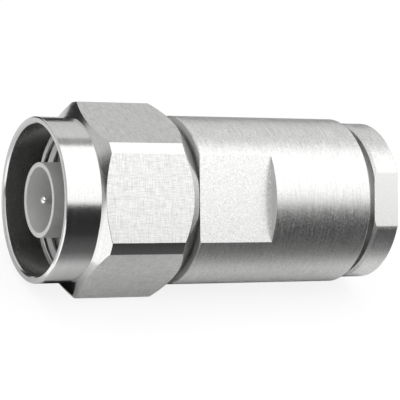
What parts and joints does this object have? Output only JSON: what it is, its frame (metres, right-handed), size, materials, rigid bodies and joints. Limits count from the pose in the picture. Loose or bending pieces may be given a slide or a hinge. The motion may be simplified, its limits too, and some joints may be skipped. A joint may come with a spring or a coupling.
{
  "type": "coaxial cable connector",
  "caption": "Straight coaxial plug for cable: round mouth with hexagonal coupling nut, tube and pin contacts inside, round shell with spanner flats, and a clamp nut at the cable end.",
  "frame": {"origin": "on the plug's axis, in the plane of the outer contact's rim", "axes": "X along the plug's axis: -X out of the mating end, +X out of the cable end. The plug lies on one flat of its coupling nut, which faces -Z."},
  "size_m": [0.041, 0.0212, 0.019],
  "materials": {
    "nut_nickel": "turned brass, bright nickel plate",
    "shell_nickel": "turned brass, satin nickel plate",
    "contact_plating": "turned brass, white bronze plate",
    "pin_plating": "turned brass, silver plate",
    "spring_bronze": "spring bronze strip",
    "washer_brass": "turned brass",
    "fluoropolymer": "turned white fluoropolymer",
    "gasket_silicone": "moulded grey silicone rubber",
    "seal_rubber": "moulded black rubber"
  },
  "bodies": {
    "connector_shell": {"body_shell": "shell_nickel", "outer_contact": "contact_plating", "retaining_ring": "spring_bronze", "neck_seal": "seal_rubber", "interface_gasket": "gasket_silicone", "front_insulator": "fluoropolymer", "rear_insulator": "fluoropolymer", "centre_contact": "pin_plating", "braid_clamp": "shell_nickel", "cable_gasket": "seal_rubber"},
    "coupling": {"coupling_nut": "nut_nickel"},
    "clamp_follower": {"thrust_washer": "washer_brass"},
    "cable_clamp_nut": {"clamp_nut": "shell_nickel", "clamp_nut_seal": "seal_rubber"}
  },
  "joints": [
    {"name": "coupling_nut_spin", "type": "hinge", "parent": "connector_shell", "child": "coupling", "pos_m": [0, 0, 0], "axis": [1, 0, 0], "continuous": true},
    {"name": "clamp_nut_travel", "type": "slide", "parent": "connector_shell", "child": "clamp_follower", "axis": [1, 0, 0], "range_m": [0, 0.0055]},
    {"name": "clamp_nut_turn", "type": "hinge", "parent": "clamp_follower", "child": "cable_clamp_nut", "pos_m": [0.035, 0, 0], "axis": [1, 0, 0], "range_deg": [0, 1980]}
  ],
  "couplings": [
    {"joint": "clamp_nut_travel", "follows": "clamp_nut_turn", "m_per_rad": 0.00015915}
  ]
}
